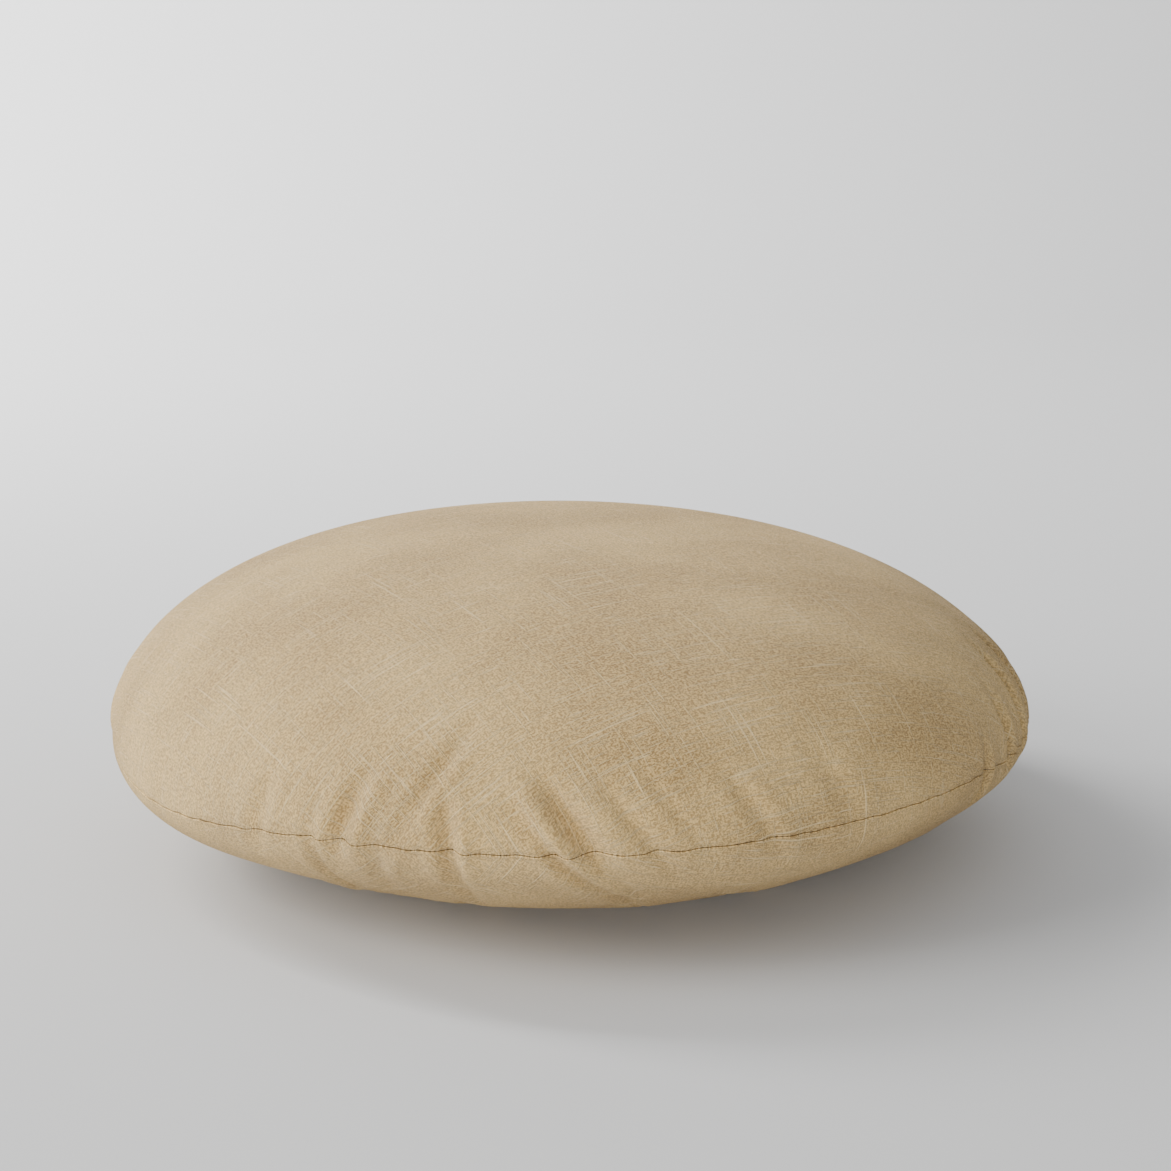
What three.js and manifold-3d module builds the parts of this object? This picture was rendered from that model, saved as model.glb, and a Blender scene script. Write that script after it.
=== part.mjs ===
// A round floor cushion: a linen cover of two panels joined at the rim, a concealed coil zip in the
// back of the seam, and a cotton pad with its filling inside. Millimetres, +Z up. The origin is on
// the floor under the middle of the cushion, and the zip is centred on +Y.

import * as THREE from 'three';
import { mergeVertices } from 'three/addons/utils/BufferGeometryUtils.js';
import Module from 'manifold-3d';

const wasm = await Module();
wasm.setup();

// --- Driving dimensions: the stuffed cushion -------------------------------------------------
const SEAM_RADIUS = 315;          // rim of the stuffed cushion
const SEAM_HEIGHT = 86;           // rim above the floor
const CROWN_RISE = 128;           // crown above the rim
const REST_RADIUS = 155;          // flat patch that the cushion rests on

// Each wall curves from the rim to its flat patch or crown as a superellipse:
// r = flat + (rim - flat) * (1 - (h / rise) ^ depth) ^ (1 / width), h measured from the rim.
const UPPER_CURVE = { side: 1, rise: CROWN_RISE, flat: 0, width: 2.4, depth: 1.94 };
const LOWER_CURVE = { side: -1, rise: SEAM_HEIGHT, flat: REST_RADIUS, width: 1, depth: 2 };

// --- Driving dimensions: cloth and thread ----------------------------------------------------
const LINEN = 1.0;                // thickness of the cover cloth
const COTTON = 0.6;               // thickness of the pad's casing
const HEM_DEPTH = 13;             // seam allowance turned in behind the cover
const CASING_HEM_DEPTH = 9;       // seam allowance of the casing
const FOLD_PLAY = 0.2;            // air between the two layers of a turned-in edge
const LIP_GAP = 0.15;             // half the gap between the two folded edges
const THREAD_GROOVE = 0.75;       // half the height of the groove that the seam thread lies in
const THREAD_HALF = 0.4;          // half the height of a seam thread
const THREAD_DEPTH = 0.7;         // depth of a thread, measured inwards
const THREAD_PLAY = 0.7;          // groove wall to thread

// --- Driving dimensions: the pad inside ------------------------------------------------------
const PAD_RIM_GAP = 12;           // cover rim to pad rim, room for the zip slider
const PAD_GAP = 0.6;              // cover to pad at the crown and at the floor
const FILL_GAP = 0.5;             // casing to filling

// --- Driving dimensions: the zip -------------------------------------------------------------
const ZIP_LENGTH = 400;           // tape length along the seam
const TAPE_END = 15;              // tape past each end of the opening
const TAPE_WIDTH = 12.2;          // one tape, from its inner edge into the cushion
const TAPE_THICKNESS = 0.5;
const STITCH_PLACE = 0.7;         // place of the thread row, as a share of the tape's width
const TAPE_GAP = 0.8;             // half the gap between the two tapes and the two coils
const OPENING_HALF = 0.95;        // half the gap between the folded edges along the zip
const COIL_WIDTH = 2.0;
const COIL_DEPTH = 1.8;
const STOP_LENGTH = 3;
const STOP_WIDTH = 2.6;
const STOP_DEPTH = 2.1;
const SLIDER_LENGTH = 9;
const SLIDER_PLATE = 1.2;         // thickness of the slider's back plate
const SLIDER_FLANK = 1.0;         // thickness of the flanks beside the coils
const NECK_THICKNESS = 1.0;
const NECK_LENGTH = 3.0;
const BAIL_OUTER = 2.2;           // outer radius of the bail's ring
const BAIL_INNER = 1.3;           // hole of the bail's ring
const PULL_LENGTH = 23;
const PULL_WIDTH = 6.4;
const PULL_NECK_WIDTH = 4.6;
const PULL_THICKNESS = 1.2;
const PULL_BAR = 1.0;             // width of the bar that hangs in the bail

// --- Clearances ------------------------------------------------------------------------------
const LAYER_GAP = 0.4;            // between neighbouring layers of the zip
const TAPE_CLEARANCE = 0.8;       // turned-in edge to tape
const SLIDER_PLAY = 0.4;          // slider to coils and tapes
const BAIL_STANDOFF = 0.4;        // cover to the bail's ring
const END_PLAY = 0.5;             // slider to stops

// --- Driving dimensions: the care label ------------------------------------------------------
const LABEL_WIDTH = 25;
const LABEL_LENGTH = 40;
const LABEL_THICKNESS = 0.4;
const LABEL_FROM_ZIP = 30;        // along the seam, from the end of the tape
const LABEL_IN = PAD_RIM_GAP / 2; // hangs midway between the cover and the pad

// --- Fineness of the surfaces ----------------------------------------------------------------
const COVER_SEGMENTS = 72;
const PAD_SEGMENTS = 36;
const COVER_STEPS = 7;
const PAD_STEPS = 5;
const ARC_STEP = THREE.MathUtils.degToRad(3);
const RING_STEP = THREE.MathUtils.degToRad(5);
const ROUND_STEPS = 12;

const MERGE_DISTANCE = 1e-4;

// --- Sizes that follow -----------------------------------------------------------------------
const HEM = 2 * LINEN + FOLD_PLAY;
const CASING_HEM = 2 * COTTON + FOLD_PLAY;
const TAPE_IN = HEM + TAPE_CLEARANCE;
const COIL_IN = TAPE_IN + TAPE_THICKNESS + LAYER_GAP;
const COIL_BACK = COIL_IN + COIL_DEPTH;
const ZIP_MIDDLE = Math.PI / 2;
const TAPE_HALF_ANGLE = ZIP_LENGTH / 2 / SEAM_RADIUS;
const OPENING_HALF_ANGLE = (ZIP_LENGTH / 2 - TAPE_END) / SEAM_RADIUS;
const STOP_ANGLE = STOP_LENGTH / SEAM_RADIUS;
const PLAY_ANGLE = END_PLAY / SEAM_RADIUS;
const SLIDER_HALF_ANGLE = SLIDER_LENGTH / 2 / SEAM_RADIUS;
const OPENING_START = ZIP_MIDDLE - OPENING_HALF_ANGLE;
const OPENING_END = ZIP_MIDDLE + OPENING_HALF_ANGLE;
const SLIDER_ANGLE = OPENING_START + STOP_ANGLE + PLAY_ANGLE + SLIDER_HALF_ANGLE;
const BAIL_OUT = BAIL_STANDOFF + BAIL_OUTER;

// --- Materials -------------------------------------------------------------------------------
const material = (color, roughness, metalness = 0) =>
  new THREE.MeshStandardMaterial({ color, roughness, metalness });

const linen = material(0xbfa986, 0.92);
const thread = material(0xb59c74, 0.8);
const tapeCloth = material(0xc2ad8b, 0.85);
const nylon = material(0xb8a27d, 0.5);
const brassMetal = material(0x9a8a63, 0.35, 1);
const cotton = material(0xe9e4d8, 0.95);
const fibre = material(0xf4f2ec, 1);
const satin = material(0xf2efe8, 0.6);

// --- Helpers ---------------------------------------------------------------------------------
const cushion = new THREE.Group();

function place(name, geometry, finish) {
  const mesh = new THREE.Mesh(geometry, finish);
  mesh.name = name;
  cushion.add(mesh);
  return mesh;
}

// A closed three.js geometry as a solid that can be joined and cut.
function solidOf(geometry) {
  const bare = geometry.clone();
  bare.deleteAttribute('normal');
  bare.deleteAttribute('uv');
  const merged = mergeVertices(bare, MERGE_DISTANCE);
  const mesh = new wasm.Mesh({
    numProp: 3,
    vertProperties: new Float32Array(merged.attributes.position.array),
    triVerts: new Uint32Array(merged.index.array),
  });
  return new wasm.Manifold(mesh);
}

function geometryOf(solid) {
  const mesh = solid.getMesh();
  const geometry = new THREE.BufferGeometry();
  geometry.setAttribute('position', new THREE.BufferAttribute(mesh.vertProperties, 3));
  geometry.setIndex(new THREE.BufferAttribute(mesh.triVerts, 1));
  return geometry;
}

// Radius of a wall at a height measured from its rim, moved inwards by an inset.
function wallRadius(curve, rim, height, inset = 0) {
  const share = 1 - (height / curve.rise) ** curve.depth;
  return curve.flat + (rim - curve.flat) * share ** (1 / curve.width) - inset;
}

// How far the more curved wall falls back from the rim at a height.
function wallFall(height) {
  const fall = (curve) => SEAM_RADIUS - wallRadius(curve, SEAM_RADIUS, height);
  return Math.max(fall(UPPER_CURVE), fall(LOWER_CURVE));
}

// The wall from a height up to its crown or flat patch, as points with their inward normals.
function wallPoints(curve, rim, from, steps) {
  const first = Math.asin((from / curve.rise) ** (curve.depth / 2));
  const at = (turn) => new THREE.Vector2(
    curve.flat + (rim - curve.flat) * Math.cos(turn) ** (2 / curve.width),
    curve.rise * Math.sin(turn) ** (2 / curve.depth),
  );
  const nudge = 1e-4;
  return Array.from({ length: steps }, (_, i) => {
    const turn = THREE.MathUtils.lerp(first, Math.PI / 2, i / steps);
    const point = at(turn);
    const along = at(turn + nudge).sub(point).normalize();
    return { point, inward: new THREE.Vector2(-along.y, along.x) };
  });
}

// The end of a profile on the axis, across the flat patch where the wall has one.
function crownPoints(curve, inset = 0) {
  const rise = curve.rise - inset;
  return curve.flat > 0 ? [[curve.flat, rise], [0, rise]] : [[0, rise]];
}

// Turns a profile of (radius, height from the rim) round Z, above or below the rim.
function turned(profile, side, segments) {
  const points = profile.map(([r, h]) => new THREE.Vector2(r, SEAM_HEIGHT + side * h));
  if (side < 0) points.reverse();
  const geometry = new THREE.LatheGeometry(points, segments);
  geometry.rotateX(Math.PI / 2);
  return geometry;
}

// A circle round Z at the rim's height, between two angles.
class RimArc extends THREE.Curve {
  constructor(radius, from, to) {
    super();
    Object.assign(this, { radius, from, to });
  }

  getPoint(t, target = new THREE.Vector3()) {
    const angle = THREE.MathUtils.lerp(this.from, this.to, t);
    return target.set(this.radius * Math.cos(angle), this.radius * Math.sin(angle), SEAM_HEIGHT);
  }
}

// A closed band along the rim. The section lists (depth inwards from the rim, height from the rim),
// and the path's frame has -Z as the section's x and the inward direction as its y.
function band(section, from, to, step = ARC_STEP) {
  const shape = new THREE.Shape(section.map(([depth, height]) => new THREE.Vector2(-height, depth)));
  return new THREE.ExtrudeGeometry(shape, {
    steps: Math.max(2, Math.ceil((to - from) / step)),
    bevelEnabled: false,
    extrudePath: new RimArc(SEAM_RADIUS, from, to),
  });
}

// A section that follows a wall between two heights, at a depth behind it.
function behindWall(curve, low, high, depth, thickness, pieces = 3) {
  const heightAt = (_, i) => THREE.MathUtils.lerp(low, high, i / pieces);
  const heights = Array.from({ length: pieces + 1 }, heightAt);
  const at = (extra) => (height) =>
    [SEAM_RADIUS - wallRadius(curve, SEAM_RADIUS, height, depth + extra), curve.side * height];
  return [...heights.map(at(0)), ...heights.reverse().map(at(thickness))];
}

function blockSection(low, high, depth, thickness) {
  return [[depth, low], [depth, high], [depth + thickness, high], [depth + thickness, low]];
}

// --- Cover and casing: two domed shells with their edges turned in ---------------------------
function panel(curve, { rim, cloth, hem, hemDepth, steps, segments }) {
  const wall = wallPoints(curve, rim, hemDepth, steps);
  const behind = (height, depth) => [wallRadius(curve, rim, height, depth), height];
  const outside = wall.map(({ point }) => point.toArray());
  const inside = wall.slice(1).map(({ point, inward }) =>
    point.clone().addScaledVector(inward, cloth).toArray());
  const turnedIn = [
    behind(LIP_GAP, cloth),
    behind(THREAD_GROOVE, cloth),
    behind(THREAD_GROOVE, hem),
    behind(hemDepth / 2, hem),
    behind(hemDepth, hem),
    behind(hemDepth, cloth),
  ];
  const innerSkin = [...turnedIn, ...inside, ...crownPoints(curve, cloth)];
  const outerSkin = [behind(LIP_GAP, 0), behind(hemDepth / 2, 0), ...outside, ...crownPoints(curve)];
  return turned([...innerSkin.reverse(), ...outerSkin], curve.side, segments);
}

function seamThread(from, to) {
  const section = blockSection(-THREAD_HALF, THREAD_HALF, LINEN + THREAD_PLAY, THREAD_DEPTH);
  return band(section, from, to, RING_STEP);
}

// The opening for the zip, cut out of both folded edges.
function zipOpening() {
  const reach = 2 * HEM;
  return solidOf(band(
    blockSection(-OPENING_HALF, OPENING_HALF, -reach, 2 * reach),
    OPENING_START,
    OPENING_END,
  ));
}

function addCover() {
  const size = {
    rim: SEAM_RADIUS,
    cloth: LINEN,
    hem: HEM,
    hemDepth: HEM_DEPTH,
    steps: COVER_STEPS,
    segments: COVER_SEGMENTS,
  };
  const opening = zipOpening();
  for (const [name, curve] of [['cover_top', UPPER_CURVE], ['cover_bottom', LOWER_CURVE]]) {
    place(name, geometryOf(solidOf(panel(curve, size)).subtract(opening)), linen);
  }
  const threadEnd = THREAD_PLAY / SEAM_RADIUS;
  const from = OPENING_END + threadEnd;
  const to = OPENING_START - threadEnd + 2 * Math.PI;
  place('seam_thread', seamThread(from, to), thread);
}

// --- The pad: a casing of two cotton panels, sewn all round, and its filling ------------------
function insetCurve(curve, gap) {
  return { ...curve, rise: curve.rise - gap };
}

function addPad() {
  const rim = SEAM_RADIUS - PAD_RIM_GAP;
  const gap = LINEN + PAD_GAP;
  const upper = insetCurve(UPPER_CURVE, gap);
  const lower = insetCurve(LOWER_CURVE, gap);
  const size = {
    rim,
    cloth: COTTON,
    hem: CASING_HEM,
    hemDepth: CASING_HEM_DEPTH,
    steps: PAD_STEPS,
    segments: PAD_SEGMENTS,
  };
  place('casing_top', panel(upper, size), cotton);
  place('casing_bottom', panel(lower, size), cotton);
  place('casing_thread', casingThread(rim), thread);
  place('filling', filling(upper, lower, rim), fibre);
}

// The casing's thread runs all the way round, so it is turned in the same steps as the casing.
function casingThread(rim) {
  const outer = rim - COTTON - THREAD_PLAY;
  const inner = outer - THREAD_DEPTH;
  const section = [
    [inner, -THREAD_HALF],
    [outer, -THREAD_HALF],
    [outer, THREAD_HALF],
    [inner, THREAD_HALF],
    [inner, -THREAD_HALF],
  ];
  return turned(section, 1, PAD_SEGMENTS);
}

// The filling keeps the same distance to the casing everywhere, so its wall has the casing's steps.
function filling(upper, lower, casingRim) {
  const rimDepth = CASING_HEM + FILL_GAP + THREAD_DEPTH;
  const side = (curve) => {
    const onHem = [0, CASING_HEM_DEPTH].map((height) => [
      wallRadius(curve, casingRim, height, rimDepth),
      height,
    ]);
    const onWall = wallPoints(curve, casingRim, CASING_HEM_DEPTH, PAD_STEPS)
      .slice(1)
      .map(({ point, inward }) => point.addScaledVector(inward, COTTON + FILL_GAP).toArray());
    const profile = [...onHem, ...onWall, ...crownPoints(curve, COTTON + FILL_GAP)];
    return profile.map(([r, h]) => [r, curve.side * h]);
  };
  const below = side(lower).slice(1).reverse();
  return turned([...below, ...side(upper)], 1, PAD_SEGMENTS);
}

// --- The zip: tapes, coils, stops and the threads that hold the tapes ------------------------
function addZipHalf(name, curve) {
  const tapeFrom = ZIP_MIDDLE - TAPE_HALF_ANGLE;
  const tapeTo = ZIP_MIDDLE + TAPE_HALF_ANGLE;
  const stitchHeight = TAPE_GAP + TAPE_WIDTH * STITCH_PLACE;
  const stopSpace = STOP_ANGLE + PLAY_ANGLE;
  const tape = behindWall(curve, TAPE_GAP, TAPE_GAP + TAPE_WIDTH, TAPE_IN, TAPE_THICKNESS);
  const coil = behindWall(curve, TAPE_GAP, TAPE_GAP + COIL_WIDTH, COIL_IN, COIL_DEPTH, 1);
  const stop = behindWall(curve, TAPE_GAP, TAPE_GAP + STOP_WIDTH, COIL_IN, STOP_DEPTH, 1);
  const stitch = behindWall(
    curve,
    stitchHeight - THREAD_HALF,
    stitchHeight + THREAD_HALF,
    COIL_IN,
    THREAD_DEPTH,
    1,
  );
  place(`zip_tape_${name}`, band(tape, tapeFrom, tapeTo), tapeCloth);
  place(`zip_stitch_${name}`, band(stitch, tapeFrom + PLAY_ANGLE, tapeTo - PLAY_ANGLE), thread);
  place(`zip_coil_${name}`, band(coil, OPENING_START + stopSpace, OPENING_END - stopSpace), nylon);
  place(`zip_top_stop_${name}`, band(stop, OPENING_START, OPENING_START + STOP_ANGLE), brassMetal);
}

function addZip() {
  addZipHalf('upper', UPPER_CURVE);
  addZipHalf('lower', LOWER_CURVE);
  const half = TAPE_GAP + STOP_WIDTH;
  const bottomStop = blockSection(-half, half, COIL_IN + wallFall(half), STOP_DEPTH);
  place('zip_bottom_stop', band(bottomStop, OPENING_END - STOP_ANGLE, OPENING_END), brassMetal);
}

// --- The slider and its pull, in a local frame: X along the zip, Y outwards, Z up ------------
function onRim(mesh, outwards) {
  const radius = SEAM_RADIUS + outwards;
  mesh.position.set(radius * Math.cos(SLIDER_ANGLE), radius * Math.sin(SLIDER_ANGLE), SEAM_HEIGHT);
  mesh.rotation.z = SLIDER_ANGLE - Math.PI / 2;
}

function box(length, depth, height, y, z) {
  const geometry = new THREE.BoxGeometry(length, depth, height);
  geometry.translate(0, y, z);
  return solidOf(geometry);
}

function bailRing() {
  const shape = new THREE.Shape().absarc(0, 0, BAIL_OUTER, 0, 2 * Math.PI);
  shape.holes.push(new THREE.Path().absarc(0, 0, BAIL_INNER, 0, 2 * Math.PI, true));
  const geometry = new THREE.ExtrudeGeometry(shape, {
    depth: NECK_THICKNESS,
    bevelEnabled: false,
    curveSegments: ROUND_STEPS,
  });
  geometry.translate(0, BAIL_OUT, -NECK_THICKNESS / 2);
  return solidOf(geometry);
}

function sliderGeometry() {
  const flankIn = TAPE_GAP + COIL_WIDTH + SLIDER_PLAY;
  const plateTop = -(COIL_BACK + SLIDER_PLAY + wallFall(flankIn));
  const plateBack = plateTop - SLIDER_PLATE;
  const flankTop = -(TAPE_IN + TAPE_THICKNESS + SLIDER_PLAY + wallFall(flankIn + SLIDER_FLANK));
  const flankDepth = flankTop - plateBack;
  const neckTop = BAIL_OUT - (BAIL_OUTER + BAIL_INNER) / 2;
  const neckDepth = neckTop - plateBack;
  const width = 2 * (flankIn + SLIDER_FLANK);
  const plate = box(SLIDER_LENGTH, SLIDER_PLATE, width, plateTop - SLIDER_PLATE / 2, 0);
  const neck = box(NECK_LENGTH, neckDepth, NECK_THICKNESS, neckTop - neckDepth / 2, 0);
  const flank = (side) => box(
    SLIDER_LENGTH,
    flankDepth,
    SLIDER_FLANK,
    flankTop - flankDepth / 2,
    side * (flankIn + SLIDER_FLANK / 2),
  );
  return geometryOf(plate.add(neck).add(flank(1)).add(flank(-1)).add(bailRing()));
}

// The tab lies along X from the bail's axis, with a window that clears the bail's ring.
function pullGeometry() {
  const barHalf = PULL_BAR / 2;
  const neckHalf = PULL_NECK_WIDTH / 2;
  const tip = PULL_WIDTH / 2;
  const windowHalf = NECK_THICKNESS / 2 + SLIDER_PLAY;
  const windowEnd = BAIL_OUTER + SLIDER_PLAY;
  const shape = new THREE.Shape();
  shape.moveTo(-barHalf, -neckHalf);
  shape.lineTo(windowEnd + PULL_BAR, -neckHalf);
  shape.absarc(PULL_LENGTH - tip, 0, tip, -Math.PI / 2, Math.PI / 2);
  shape.lineTo(windowEnd + PULL_BAR, neckHalf);
  shape.lineTo(-barHalf, neckHalf);
  shape.closePath();
  const window = new THREE.Path();
  window.moveTo(barHalf, -windowHalf);
  window.lineTo(barHalf, windowHalf);
  window.lineTo(windowEnd, windowHalf);
  window.lineTo(windowEnd, -windowHalf);
  window.closePath();
  shape.holes.push(window);
  const geometry = new THREE.ExtrudeGeometry(shape, {
    depth: PULL_THICKNESS,
    bevelEnabled: false,
    curveSegments: ROUND_STEPS,
  });
  geometry.translate(0, 0, -PULL_THICKNESS / 2);
  geometry.rotateX(Math.PI / 2);
  return geometry;
}

function addSlider() {
  onRim(place('zip_slider', sliderGeometry(), brassMetal), 0);
  onRim(place('zip_pull', pullGeometry(), brassMetal), BAIL_OUT);
}

// --- The care label: a blank tape that hangs inside the lower panel, beside the zip -----------
function addLabel() {
  const from = ZIP_MIDDLE - TAPE_HALF_ANGLE - (LABEL_FROM_ZIP + LABEL_WIDTH) / SEAM_RADIUS;
  const section = behindWall(LOWER_CURVE, TAPE_GAP, TAPE_GAP + LABEL_LENGTH, LABEL_IN, LABEL_THICKNESS, 5);
  place('care_label', band(section, from, from + LABEL_WIDTH / SEAM_RADIUS, ARC_STEP / 2), satin);
}

addCover();
addPad();
addZip();
addSlider();
addLabel();

export default cushion;
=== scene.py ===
# %% [markdown]
# # A round floor cushion
#
# The real cushion is a loose pad inside a linen cover. The cover is two round panels sewn together
# at the rim, with a concealed zip in the back of the seam. The fixed frame gives the sizes, and
# this lesson makes the cloth, the threads and the finishes around it.

import math

import bmesh
import bpy
import numpy as np
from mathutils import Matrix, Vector


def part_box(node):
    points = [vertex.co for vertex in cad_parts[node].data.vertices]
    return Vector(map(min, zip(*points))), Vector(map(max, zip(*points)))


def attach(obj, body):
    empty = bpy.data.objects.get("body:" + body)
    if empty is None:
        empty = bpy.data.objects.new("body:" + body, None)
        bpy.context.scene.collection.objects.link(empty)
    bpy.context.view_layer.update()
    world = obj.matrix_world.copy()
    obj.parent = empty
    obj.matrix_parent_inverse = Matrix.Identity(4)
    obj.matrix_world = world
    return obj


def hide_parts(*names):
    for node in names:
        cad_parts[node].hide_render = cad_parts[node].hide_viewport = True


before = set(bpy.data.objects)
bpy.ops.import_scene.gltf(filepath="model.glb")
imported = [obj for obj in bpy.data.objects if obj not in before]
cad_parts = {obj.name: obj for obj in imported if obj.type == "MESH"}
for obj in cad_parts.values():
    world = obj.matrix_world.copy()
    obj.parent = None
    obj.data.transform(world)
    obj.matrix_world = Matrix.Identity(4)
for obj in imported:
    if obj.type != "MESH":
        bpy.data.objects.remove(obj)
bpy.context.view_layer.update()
top_low, top_high = (np.array(corner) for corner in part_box("cover_top"))
bottom_high = np.array(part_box("cover_bottom")[1])

# %% [markdown]
# ## Camera
#
# A low product view: a long lens a little above the cushion. The aim is high on the cushion, near
# its crown, so that it sits below the middle of the picture without a lens shift.

# %% The camera
CAMERA_DISTANCE = 1.8
CAMERA_RISE = math.radians(16.0)
LENS_MM = 79.0
AIM = Vector((0.0115, 0.0, 0.173))
LOOK_HEIGHT = 0.09


def aimed(obj, place, target):
    """Stands an object at a place and turns its -Z axis towards a target."""
    obj.location = place
    obj.rotation_euler = (Vector(target) - Vector(place)).to_track_quat("-Z", "Y").to_euler()


camera_data = bpy.data.cameras.new("camera")
camera_data.lens = LENS_MM
camera = bpy.data.objects.new("camera", camera_data)
bpy.context.collection.objects.link(camera)
camera_place = (
    0.0,
    -CAMERA_DISTANCE * math.cos(CAMERA_RISE),
    LOOK_HEIGHT + CAMERA_DISTANCE * math.sin(CAMERA_RISE),
)
aimed(camera, camera_place, AIM)
bpy.context.scene.camera = camera
print(f"camera {CAMERA_DISTANCE} m away, {LENS_MM} mm lens")

# %% [markdown]
# ## The shape of a stuffed panel
#
# A flat round panel becomes a dome when the cover is stuffed. Each point of the flat panel keeps
# its distance from the rim along the cloth, so the dome is the flat panel wrapped onto a curve
# that runs from the rim to the crown, or to the flat patch on the floor.

# %% Sizes from the frame
RIM = float((top_high[0] - top_low[0]) / 2)
SEAM_Z = float((top_low[2] + bottom_high[2]) / 2)
CROWN_RISE = float(top_high[2]) - SEAM_Z
REST_RADIUS = 0.155
CUT_RADIUS = 0.345
CROWN_SHIFT = -0.012
WALL_STEPS = 400
UPPER = {"side": 1, "rise": CROWN_RISE, "flat": 0.0, "width": 2.4, "depth": 1.94}
LOWER = {"side": -1, "rise": SEAM_Z, "flat": REST_RADIUS, "width": 1.0, "depth": 2.0}
print(f"rim {RIM:.4f} m, seam at {SEAM_Z:.4f} m, crown {CROWN_RISE:.4f} m above it")


def disc_grid(half):
    """Spreads a square grid over a disc without a pole: each square ring of cells becomes a circle.
    Returns the radius, from 0 to 1, and the angle of every grid point."""
    line = np.linspace(-1, 1, 2 * half + 1)
    a, b = np.meshgrid(line, line, indexing="ij")
    wide = np.abs(a) > np.abs(b)
    safe_a = np.where(a == 0, 1, a)
    safe_b = np.where(b == 0, 1, b)
    turn = np.where(wide, np.pi / 4 * b / safe_a, np.pi / 2 - np.pi / 4 * a / safe_b)
    radius = np.where(wide, a, b)
    return np.abs(radius), np.where(radius < 0, turn + np.pi, turn)


def wall_line(curve):
    """The wall from the rim inwards: radius, height from the rim and length along the cloth.
    radius = flat + (rim - flat) cos(t)^(2/width), height = rise sin(t)^(2/depth)."""
    t = np.linspace(0, np.pi / 2, WALL_STEPS)
    radius = curve["flat"] + (RIM - curve["flat"]) * np.cos(t) ** (2 / curve["width"])
    height = curve["rise"] * np.sin(t) ** (2 / curve["depth"])
    radius = np.append(radius, 0.0)
    height = np.append(height, curve["rise"])
    steps_along = np.hypot(np.diff(radius), np.diff(height))
    return radius, height, np.concatenate([[0], np.cumsum(steps_along)])


# %% [markdown]
# Nothing stuffed by hand is a true dome. The crown leans a little to one side, and the seam wanders
# up and down. Both are soft bumps round the rim, and they fade out before the zip at the back.

# %% Gentle unevenness
SEAM_WANDER = [
    (-56, 20, -0.012),
    (42, 28, 0.005),
]


def from_front(angle):
    """Degrees round the rim from the front (-Y), from -180 to 180, positive to the right."""
    return (np.degrees(angle) + 90 + 180) % 360 - 180


def seam_wander(angle):
    """Height that the seam gains: a sum of soft bumps exp(-(d / width)^2) in degrees."""
    degrees = from_front(angle)
    return sum(lift * np.exp(-(((degrees - at) / width) ** 2)) for at, width, lift in SEAM_WANDER)


def domed(radius, angle, curve):
    """A stuffed panel: each grid point keeps its share of the cloth's length from the rim."""
    line_radius, line_height, along = wall_line(curve)
    share = (1 - radius) * along[-1]
    r = np.interp(share, along, line_radius)
    h = np.interp(share, along, line_height)
    inner = (r / RIM) ** 2
    x = r * np.cos(angle) + (CROWN_SHIFT * (1 - inner) if curve["side"] > 0 else 0)
    z = SEAM_Z + curve["side"] * h + seam_wander(angle) * (1 - h / curve["rise"]) * inner
    return np.stack([x, r * np.sin(angle), z], -1), curve["side"] * share


# %% [markdown]
# ## Folds at the rim
#
# A flat disc has too much cloth at its edge for a domed shape, so the edge gathers into folds that
# cross the seam. They could be left to the simulation alone, but then they fall anywhere. Here
# each fold starts as a shallow valley between two ridges, and the simulation finishes it.

# %% Where the folds start
# Angle from the front (degrees), lean (degrees for each metre up the cloth), half width, depth,
# lowest and highest point along the cloth from the seam (metres), side of the main ridge.
FRONT_FOLDS = [
    (-37, 30, 0.007, 0.0025, -0.004, 0.035, 1),
    (-29.5, 0, 0.005, 0.0035, -0.030, -0.003, 1),
    (-26, 60, 0.007, 0.0070, -0.004, 0.032, 1),
    (-21.5, 0, 0.006, 0.0035, -0.030, -0.002, 1),
    (-19.5, 100, 0.006, 0.0022, -0.004, 0.060, 1),
    (-13, -20, 0.006, 0.0060, -0.026, 0.022, 1),
    (-1.5, -140, 0.006, 0.0065, -0.034, 0.006, 1),
    (2.6, -120, 0.009, 0.0125, -0.002, 0.034, -1),
    (9.4, -130, 0.006, 0.0032, -0.010, 0.036, -1),
    (14.5, -120, 0.005, 0.0022, 0.006, 0.044, -1),
    (22.5, -100, 0.007, 0.0035, -0.004, 0.038, 1),
    (33, -60, 0.010, 0.0025, 0.004, 0.045, 1),
    (58, 0, 0.005, 0.0035, -0.026, 0.004, 1),
]
SIDE_FOLDS = [
    (66, 20, 0.006, 0.0045, -0.012, 0.040, 1),
    (74, 30, 0.006, 0.0055, -0.012, 0.060, 1),
    (82, 30, 0.006, 0.0060, -0.014, 0.060, 1),
    (90, 30, 0.006, 0.0050, -0.012, 0.050, 1),
    (-86, 0, 0.006, 0.0045, -0.014, 0.025, 1),
]
BACK_FOLDS = [
    (at, 30 * math.copysign(1, at), 0.007, 0.0035, -0.020, 0.040, 1)
    for at in (104, 118, 131, -104, -120, -137)
]
FOLDS = FRONT_FOLDS + SIDE_FOLDS + BACK_FOLDS
FOLD_FADE = 0.007
RIDGE_OFFSET = 1.7
MAIN_RIDGE = 0.6
OTHER_RIDGE = 0.35
TILT_LENGTH = 0.25
print(len(FOLDS), "folds round the rim")


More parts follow.
